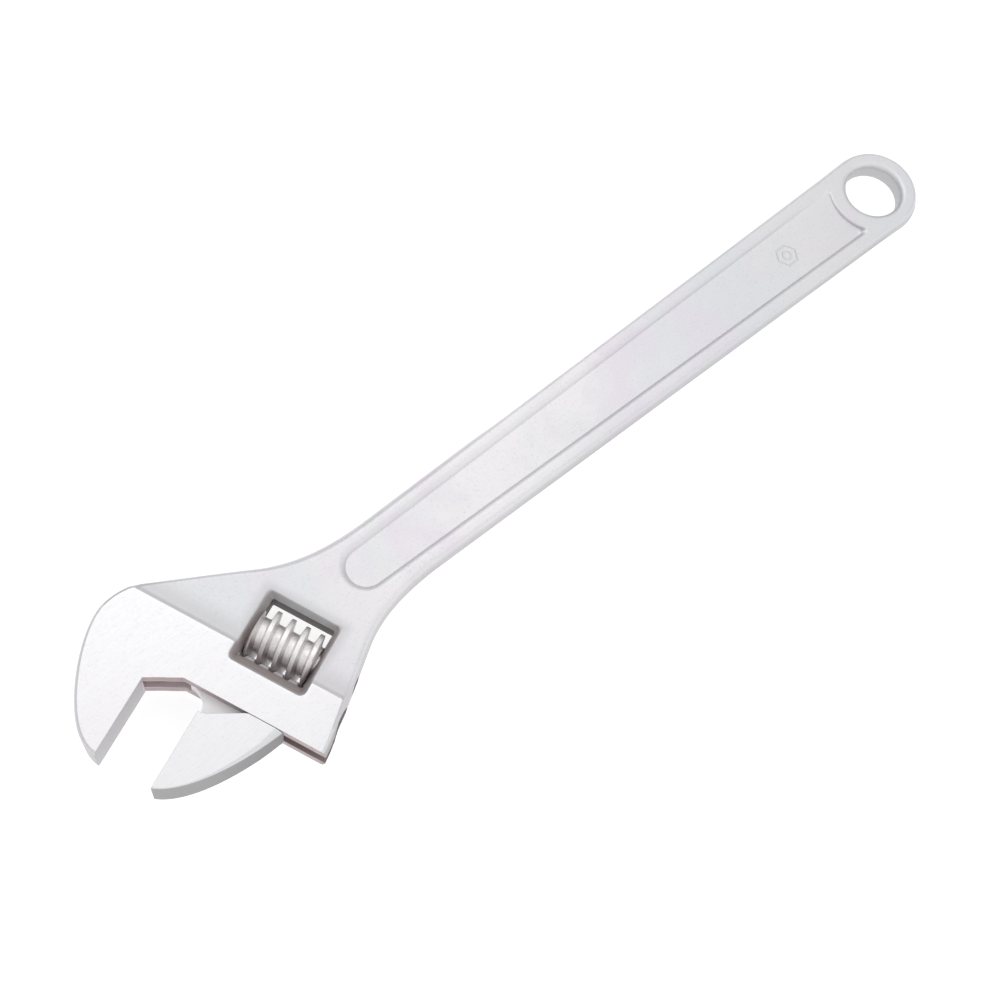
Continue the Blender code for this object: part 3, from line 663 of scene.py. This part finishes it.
# ------------------------------------------------------------------ materials
class Nodes:
    """Short names for building a node tree."""

    def __init__(self, name):
        self.mat = bpy.data.materials.new(name)
        self.mat.use_nodes = True
        self.tree = self.mat.node_tree
        self.shader = self.tree.nodes["Principled BSDF"]
        coord = self.tree.nodes.new("ShaderNodeTexCoord")
        self.object = coord.outputs["Object"]
        self.normal = coord.outputs["Normal"]

    def put(self, socket, value):
        if hasattr(value, "is_output"):
            self.tree.links.new(value, socket)
        else:
            socket.default_value = value

    def math(self, op, x, y=0.0, z=0.0, clamp=False):
        n = self.tree.nodes.new("ShaderNodeMath")
        n.operation, n.use_clamp = op, clamp
        for s, v in zip(n.inputs, (x, y, z)):
            self.put(s, v)
        return n.outputs[0]

    def ramp(self, x, lo, hi, to0=0.0, to1=1.0, smooth_=True):
        n = self.tree.nodes.new("ShaderNodeMapRange")
        n.interpolation_type = 'SMOOTHSTEP' if smooth_ else 'LINEAR'
        for key, v in (("Value", x), ("From Min", lo), ("From Max", hi), ("To Min", to0), ("To Max", to1)):
            self.put(n.inputs[key], v)
        return n.outputs[0]

    def dot(self, vector, direction, offset_=0.0):
        n = self.tree.nodes.new("ShaderNodeVectorMath")
        n.operation = 'DOT_PRODUCT'
        self.put(n.inputs[0], vector)
        n.inputs[1].default_value = direction
        return self.math('ADD', n.outputs["Value"], offset_)

    def noise(self, scale, detail=2.0, rough=0.5, vector=None, distortion=0.0):
        n = self.tree.nodes.new("ShaderNodeTexNoise")
        n.inputs["Scale"].default_value = scale
        n.inputs["Detail"].default_value = detail
        n.inputs["Roughness"].default_value = rough
        n.inputs["Distortion"].default_value = distortion
        self.put(n.inputs["Vector"], self.object if vector is None else vector)
        return n.outputs["Fac"]

    def stretched(self, rotation, scale):
        n = self.tree.nodes.new("ShaderNodeMapping")
        n.inputs["Rotation"].default_value = (0, 0, rotation)
        n.inputs["Scale"].default_value = scale
        self.put(n.inputs["Vector"], self.object)
        return n.outputs[0]

    def mix(self, factor, x, y, blend='MIX'):
        n = self.tree.nodes.new("ShaderNodeMix")
        n.data_type = 'RGBA'
        n.blend_type = blend
        self.put(n.inputs["Factor"], factor)
        for key, v in (("A", x), ("B", y)):
            s = [q for q in n.inputs if q.name == key and q.type == 'RGBA'][0]
            self.put(s, (*v, 1) if isinstance(v, tuple) and len(v) == 3 else v)
        return [q for q in n.outputs if q.type == 'RGBA'][0]

    def bump(self, height, strength, dist, normal=None):
        n = self.tree.nodes.new("ShaderNodeBump")
        n.inputs["Strength"].default_value = strength
        n.inputs["Distance"].default_value = dist
        self.put(n.inputs["Height"], height)
        if normal is not None:
            self.put(n.inputs["Normal"], normal)
        return n.outputs[0]


HX, HY = (REF[0] + HOLE[0]) * MM, (REF[1] + HOLE[1]) * MM


def steel(name, forged, ground, wall_shade_tone=0.56, wall_shade_share=0.55):
    """Plated steel: a blasted forged surface, ground faces, and painted shade on the walls."""
    m = Nodes(name)
    # position in head coordinates, metres
    a = m.dot(m.object, (SIN, -COS, 0), -(HX * SIN - HY * COS))
    b = m.dot(m.object, (-COS, -SIN, 0), HX * COS + HY * SIN)
    z = m.math('ABSOLUTE', m.dot(m.object, (0, 0, 1), -LIFT * MM))
    nz = m.math('ABSOLUTE', m.dot(m.normal, (0, 0, 1)))

    # slow clouding of the plating, in three faint tints
    along = m.dot(m.object, (1, 0, 0))
    lift = m.math('MULTIPLY', m.ramp(along, -0.20, -0.10), m.ramp(along, 0.25, 0.02))
    c1 = m.noise(11.0, 3, 0.55)
    c2 = m.noise(27.0, 2, 0.5, distortion=0.6)
    fine = m.noise(900.0, 3, 0.62)
    base = m.mix(lift, forged, tuple(v * 1.075 for v in forged))
    base = m.mix(m.ramp(c1, 0.36, 0.66), base, tuple(v * k for v, k in zip(forged, (0.955, 0.995, 1.0))))
    base = m.mix(m.ramp(c2, 0.45, 0.72, 0, 0.8), base, tuple(v * k for v, k in zip(forged, (1.0, 0.962, 1.015))))
    face = m.mix(m.ramp(c2, 0.4, 0.7), ground, tuple(v * k for v, k in zip(ground, (0.985, 0.975, 1.0))))
    # grinding marks run along the jaw faces' travel
    marks = m.noise(60.0, 3, 0.6, m.stretched(math.radians(67.5), (1.2, 22.0, 1.2)))
    face = m.mix(m.ramp(marks, 0.3, 0.75), face, tuple(v * 0.955 for v in ground))
    is_ground = m.math('MULTIPLY', m.ramp(z, 0.01346, 0.01349), m.ramp(nz, 0.97, 0.995))
    colour = m.mix(is_ground, base, face)
    # blasted speckle
    colour = m.mix(m.math('MULTIPLY', m.ramp(fine, 0.54, 0.72), m.math('SUBTRACT', 0.38, m.math('MULTIPLY', is_ground, 0.16))), colour, tuple(v * 0.72 for v in forged))
    # painted shade: walls that face sideways are darkened in colour
    wall = m.ramp(nz, 0.1, 0.66, 1.0, 0.0)
    colour = m.mix(m.math('MULTIPLY', wall, wall_shade_share), colour, tuple(v * wall_shade_tone for v in forged))
    rough = m.mix(is_ground, (0.46,) * 3, (0.33,) * 3)
    return m, a, b, z, nz, wall, colour, is_ground, fine, marks, c2


def complete(m, colour, rough, normal, metallic=1.0):
    m.put(m.shader.inputs["Base Color"], colour)
    m.put(m.shader.inputs["Roughness"], rough)
    m.put(m.shader.inputs["Normal"], normal)
    m.put(m.shader.inputs["Metallic"], metallic)
    return m.mat


def body_material():
    m, a, b, z, nz, wall, colour, is_ground, fine, marks, c2 = steel(
        "blasted_forging", (0.735, 0.722, 0.738), (0.845, 0.837, 0.85))
    mm = MM
    # machined throat, slide line and slot: bare steel with a warm tarnish
    edge = m.math('MINIMUM', b, m.math('ADD', m.math('MULTIPLY', a, 0.4755), m.math('SUBTRACT', m.math('MULTIPLY', b, 0.8797), 0.0088)))
    rubbed = m.math('MULTIPLY', m.ramp(a, 0.0520, 0.0560), m.ramp(a, 0.0800, 0.0770))
    lips = m.math('MULTIPLY', m.math('MULTIPLY', m.ramp(edge, -0.0009, -0.0005), wall),
                  m.math('MULTIPLY', m.ramp(b, 0.0106, 0.0098), m.math('SUBTRACT', 1.0, m.math('MULTIPLY', rubbed, 0.75))))
    in_slot = m.math('MULTIPLY', m.ramp(z, 0.0068, 0.0062), m.math('MULTIPLY', m.ramp(edge, -0.0300, -0.0290),
                     m.math('MULTIPLY', m.ramp(a, -0.0150, -0.0135), m.math('MULTIPLY', m.math('MAXIMUM', m.ramp(a, 0.0970, 0.0950), m.ramp(nz, 0.90, 0.97)),
                     m.math('MULTIPLY', m.ramp(b, -0.0255, -0.0245), m.ramp(b, 0.0125, 0.0110))))))
    throat = m.math('MAXIMUM', lips, m.math('MULTIPLY', in_slot, 0.9))
    warm = m.mix(m.noise(240.0, 3, 0.6), (0.40, 0.29, 0.295), (0.56, 0.45, 0.455))
    colour = m.mix(m.math('MULTIPLY', lips, 0.85), colour, warm)
    pale = m.mix(m.noise(180.0, 3, 0.6), (0.74, 0.60, 0.62), (0.88, 0.78, 0.79))
    colour = m.mix(m.math('MULTIPLY', m.math('MULTIPLY', in_slot, m.ramp(a, 0.0330, 0.0230)), 0.9), colour, pale)
    # painted shade: further along the slot towards the heel it turns dark brown
    colour = m.mix(m.math('MULTIPLY', m.math('MULTIPLY', in_slot, m.ramp(a, 0.0560, 0.0640)), 0.9), colour, (0.27, 0.20, 0.20))
    # heel: a duller cut end; painted shade: the insides of the rack bore and the pin hole are coloured near black
    zz = m.math('MULTIPLY', z, z)
    yb = m.math('ADD', b, 0.0200)
    yw = m.math('ADD', b, 0.0425)
    in_bore = m.ramp(m.math('ADD', zz, m.math('MULTIPLY', yb, yb)), 0.0001012, 0.0001000)
    in_pin = m.math('MULTIPLY', m.ramp(m.math('ADD', zz, m.math('MULTIPLY', yw, yw)), 0.0000330, 0.0000322), m.ramp(a, 0.0736, 0.0740))
    heel = m.math('MULTIPLY', m.ramp(a, 0.0985, 0.1010), m.math('MULTIPLY', wall, m.ramp(b, -0.0520, -0.0440)))
    colour = m.mix(m.math('MULTIPLY', heel, 0.75), colour, (0.36, 0.335, 0.33))
    hole_shade = m.math('MAXIMUM', m.math('MULTIPLY', in_bore, m.ramp(a, 0.0760, 0.0800)), in_pin)
    colour = m.mix(m.math('MULTIPLY', hole_shade, 0.95), colour, (0.12, 0.085, 0.085))
    # painted shade: the web is darkened along the ground band and round the pocket, standing in for the shading of its
    # gentle slopes there
    web = m.math('SUBTRACT', 1.0, is_ground)
    slope_shade = m.math('MAXIMUM', m.ramp(b, -0.0470, -0.0315),
                  m.math('MULTIPLY', m.ramp(a, 0.0250, 0.0330), m.math('MULTIPLY', m.ramp(a, 0.0840, 0.0770),
                         m.math('MULTIPLY', m.ramp(b, -0.0710, -0.0640), m.ramp(b, -0.015, -0.022)))))
    slope_shade = m.math('MULTIPLY', m.math('MULTIPLY', slope_shade, web), m.math('MULTIPLY', m.ramp(b, -0.0120, -0.0160), m.ramp(a, 0.1040, 0.0980)))
    colour = m.mix(m.math('MULTIPLY', slope_shade, 0.62), colour, (0.54, 0.53, 0.54))
    # worm pocket: brown grime low on the walls and in the corners
    ca = m.math('ABSOLUTE', m.math('SUBTRACT', a, 0.0545))
    cb = m.math('ABSOLUTE', m.math('SUBTRACT', b, -0.0425))
    in_pocket = m.math('MULTIPLY', m.ramp(ca, 0.0226, 0.0218), m.ramp(cb, 0.0225, 0.0216))
    side = m.math('MAXIMUM', m.math('MULTIPLY', m.ramp(b, -0.0600, -0.0380), 0.92), m.math('MAXIMUM', m.math('MULTIPLY', m.ramp(a, 0.0370, 0.0340), 0.6), m.math('MULTIPLY', m.ramp(a, 0.0722, 0.0745), 0.8)))
    deep = m.ramp(m.math('ADD', z, m.math('MULTIPLY', m.noise(330.0, 3, 0.6), 0.004)), 0.0172, 0.0108)
    deep = m.math('MULTIPLY', deep, m.math('ADD', 0.06, m.math('MULTIPLY', side, 0.94)))
    grime = m.mix(m.noise(420.0, 3, 0.6), (0.27, 0.19, 0.17), (0.47, 0.40, 0.38))
    colour = m.mix(m.math('MULTIPLY', m.math('MULTIPLY', in_pocket, deep), 0.75), colour, grime)
    # painted shade: the window's straight inner walls are coloured near black
    window_wall_shade = m.math('MULTIPLY', in_pocket, m.math('MULTIPLY', m.ramp(z, 0.0056, 0.0050), m.ramp(nz, 0.5, 0.3)))
    colour = m.mix(m.math('MULTIPLY', window_wall_shade, 0.95), colour, (0.055, 0.035, 0.038))
    film = m.math('MAXIMUM', m.math('MULTIPLY', in_pocket, m.ramp(z, 0.0136, 0.0120)), m.math('MULTIPLY', throat, 0.7))
    metal = m.math('SUBTRACT', 1.0, m.math('MULTIPLY', film, 0.62))
    rough = m.math('ADD', m.ramp(is_ground, 0, 1, 0.46, 0.36, False), m.math('MULTIPLY', fine, 0.10))
    pits = m.noise(380.0, 4, 0.6)
    grain = m.bump(fine, 0.25, 0.00012, m.bump(pits, 0.16, 0.00035))
    normal = m.bump(marks, 0.05, 0.0002, grain)
    return complete(m, colour, rough, normal, metal)


def jaw_material():
    m, a, b, z, nz, wall, colour, is_ground, fine, marks, c2 = steel(
        "ground_jaw", (0.76, 0.75, 0.755), (0.82, 0.815, 0.83), 0.38, 0.9)
    # neck plate and rack: milled
    low = m.ramp(z, 0.0102, 0.0098)
    milled = m.mix(m.noise(300.0, 2, 0.5), (0.84, 0.84, 0.85), (0.91, 0.91, 0.92))
    low = m.math('MULTIPLY', low, m.math('MAXIMUM', m.ramp(b, 0.0004, 0.0002), m.math('MULTIPLY', m.ramp(b, 0.0113, 0.0109), m.ramp(a, 0.0575, 0.0570))))
    colour = m.mix(low, colour, milled)
    # painted shade: the outer wall greys towards the shoulder
    shade = m.math('MULTIPLY', m.math('MULTIPLY', wall, m.ramp(b, 0.0450, 0.0060)), m.ramp(b, 0.0002, 0.0006))
    colour = m.mix(m.math('MULTIPLY', m.math('MULTIPLY', shade, m.ramp(a, 0.0345, 0.0360)), m.math('SUBTRACT', 0.80, m.math('MULTIPLY', low, 0.75))), colour, (0.24, 0.23, 0.235))
    # painted shade: the rack bar is darkened where it runs close to the bore, on the worm's side
    film = m.math('MULTIPLY', m.ramp(b, -0.0190, -0.0210), m.ramp(z, 0.0060, 0.0078))
    colour = m.mix(m.math('MULTIPLY', film, 0.92), colour, (0.26, 0.215, 0.205))
    rough = m.math('ADD', m.ramp(is_ground, 0, 1, 0.44, 0.36, False), m.math('MULTIPLY', fine, 0.08))
    grain = m.bump(fine, 0.15, 0.0001)
    normal = m.bump(marks, 0.05, 0.0002, grain)
    metal = m.math('SUBTRACT', 1.0, m.math('MULTIPLY', low, 0.6))
    return complete(m, colour, rough, normal, metal)


def turned_material(name, light, dark, rough, scale=1.0, metallic=1.0, film=0.0):
    """Turned steel, with painted shade on the side that faces the rack."""
    m = Nodes(name)
    n1 = m.noise(160.0 * scale, 3, 0.6)
    n2 = m.noise(900.0, 3, 0.6)
    colour = m.mix(m.ramp(n1, 0.35, 0.7), light, dark)
    colour = m.mix(m.ramp(n2, 0.5, 0.75, 0, 0.4), colour, tuple(v * 0.7 for v in dark))
    # painted shade: the side that faces the rack is darkened
    b = m.dot(m.object, (-COS, -SIN, 0), HX * COS + HY * SIN)
    rack_side_shade = m.ramp(m.math('ADD', b, m.math('MULTIPLY', n1, 0.004)), -0.0385, -0.0290)
    colour = m.mix(m.math('MULTIPLY', rack_side_shade, film), colour, (0.33, 0.28, 0.29))
    lines = m.noise(40.0, 2, 0.5, m.stretched(math.radians(67.5), (30.0, 1.5, 1.5)))
    return complete(m, colour, m.math('ADD', rough, m.math('MULTIPLY', n2, 0.12)),
                    m.bump(lines, 0.12, 0.0001, m.bump(n2, 0.15, 0.0001)), metallic)


body.data.materials.clear()
body.data.materials.append(body_material())
jaw.data.materials.clear()
jaw.data.materials.append(jaw_material())
worm.data.materials.clear()
# the worm's film value sets the strength of its painted shade
worm.data.materials.append(turned_material("turned_worm", (0.93, 0.915, 0.90), (0.80, 0.78, 0.775), 0.38,
                                           metallic=0.78, film=0.8))
pin.data.materials.clear()
pin.data.materials.append(turned_material("dark_pin", (0.33, 0.31, 0.31), (0.22, 0.20, 0.20), 0.42))
coil.materials.append(turned_material("spring_wire", (0.45, 0.44, 0.44), (0.33, 0.32, 0.32), 0.34))

for piece, rides, node, slot_name in ((body, "body", "wrench_body", "forged_steel"),
                                      (jaw, "jaw", "movable_jaw", "jaw_steel"),
                                      (worm, "worm", "adjusting_worm", "worm_steel"),
                                      (pin, "body", "worm_pin", "pin_steel"),
                                      (spring, "body", "worm_spring", "spring_steel")):
    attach(piece, rides)
    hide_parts(node)

# ------------------------------------------------------------------ floor, light, camera
bm = bmesh.new()
bmesh.ops.create_grid(bm, x_segments=1, y_segments=1, size=6.0)
floor = from_bm("floor", bm)
paper = Nodes("pale_floor")
paper.shader.inputs["Base Color"].default_value = (0.45, 0.45, 0.45, 1)
paper.shader.inputs["Emission Color"].default_value = (1, 1, 1, 1)
paper.shader.inputs["Emission Strength"].default_value = 0.74
paper.shader.inputs["Roughness"].default_value = 0.9
paper.shader.inputs["Specular IOR Level"].default_value = 0.0
floor.data.materials.append(paper.mat)

world = bpy.data.worlds.new("studio")
bpy.context.scene.world = world
world.use_nodes = True
tree = world.node_tree
sky = tree.nodes["Background"]
coord = tree.nodes.new("ShaderNodeTexCoord")
split = tree.nodes.new("ShaderNodeSeparateXYZ")
tree.links.new(coord.outputs["Generated"], split.inputs[0])
band = tree.nodes.new("ShaderNodeMapRange")
band.inputs["From Min"].default_value = 0.0
band.inputs["From Max"].default_value = 0.8
band.inputs["To Min"].default_value = 0.66
band.inputs["To Max"].default_value = 0.93
tree.links.new(split.outputs["Z"], band.inputs["Value"])
# brighter in front of the bench than behind it, towards the horizon
low = tree.nodes.new("ShaderNodeMath")
low.operation = 'SUBTRACT'
low.inputs[0].default_value = 1.0
tree.links.new(split.outputs["Z"], low.inputs[1])
side = tree.nodes.new("ShaderNodeMath")
side.operation = 'MULTIPLY'
tree.links.new(split.outputs["Y"], side.inputs[0])
tree.links.new(low.outputs[0], side.inputs[1])
total = tree.nodes.new("ShaderNodeMath")
total.operation = 'MULTIPLY_ADD'
total.inputs[1].default_value = -0.30
tree.links.new(side.outputs[0], total.inputs[0])
tree.links.new(band.outputs[0], total.inputs[2])
tree.links.new(total.outputs[0], sky.inputs["Strength"])
sky.inputs["Color"].default_value = (1.0, 0.998, 1.0, 1)


def softbox(name, place, target, size, watts):
    data = bpy.data.lights.new(name, 'AREA')
    data.shape = 'RECTANGLE'
    data.size, data.size_y = size
    data.energy = watts
    ob = bpy.data.objects.new(name, data)
    bpy.context.scene.collection.objects.link(ob)
    ob.location = place
    ob.rotation_euler = (Vector(target) - Vector(place)).to_track_quat('-Z', 'Y').to_euler()
    return ob


softbox("key_light", (0.45, 1.15, 1.9), (0.0, 0.0, 0.0), (1.8, 1.2), 6.0)
softbox("fill_light", (0.9, -0.9, 1.7), (0.0, 0.0, 0.0), (1.2, 1.2), 1.5)

cam_data = bpy.data.cameras.new("camera")
cam_data.sensor_width = 36.0
cam_data.lens = 36.0 * 1694.2974 / 1000
cam_data.clip_start, cam_data.clip_end = 0.01, 50
cam = bpy.data.objects.new("camera", cam_data)
bpy.context.scene.collection.objects.link(cam)
cam.matrix_world = Matrix(((0.75648109, 0.5685331, -0.32327462, (-622.50874 + HOLE[0]) * MM),
                           (-0.64284821, 0.73733048, -0.20758119, (-210.12261 + HOLE[1]) * MM),
                           (0.12034345, 0.36484776, 0.92325704, (876.27936 + LIFT) * MM),
                           (0, 0, 0, 1)))
bpy.context.scene.camera = cam
bpy.context.scene.view_settings.view_transform = 'Standard'
bpy.context.scene.view_settings.look = 'None'
